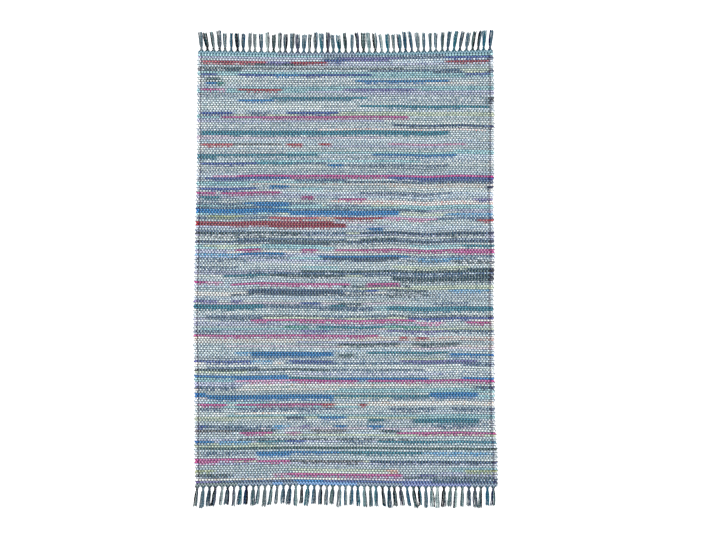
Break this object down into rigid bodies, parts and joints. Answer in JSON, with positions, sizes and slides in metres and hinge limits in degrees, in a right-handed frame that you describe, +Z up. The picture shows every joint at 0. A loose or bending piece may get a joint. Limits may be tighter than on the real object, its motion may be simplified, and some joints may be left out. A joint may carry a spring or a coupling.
{
  "type": "rag rug",
  "caption": "Flat-woven rag rug: thin crosswise picks of mixed cut rags on a cotton warp, with looped selvedges and a knotted warp fringe at both ends.",
  "frame": {"origin": "on the floor, under the middle of the rug", "axes": "+X across the rug along its picks, +Y along its warp towards the far fringe, +Z up"},
  "size_m": [1.4225, 2.2532, 0.008],
  "materials": {
    "rag_weave": "matte woven cotton rags in light grey, cream, blue, teal and crimson",
    "warp_yarn": "matte twisted cotton yarn in black, navy, teal and sage"
  },
  "bodies": {
    "root": {"woven_body": "rag_weave", "fringe_far": "warp_yarn", "fringe_near": "warp_yarn"}
  },
  "joints": []
}
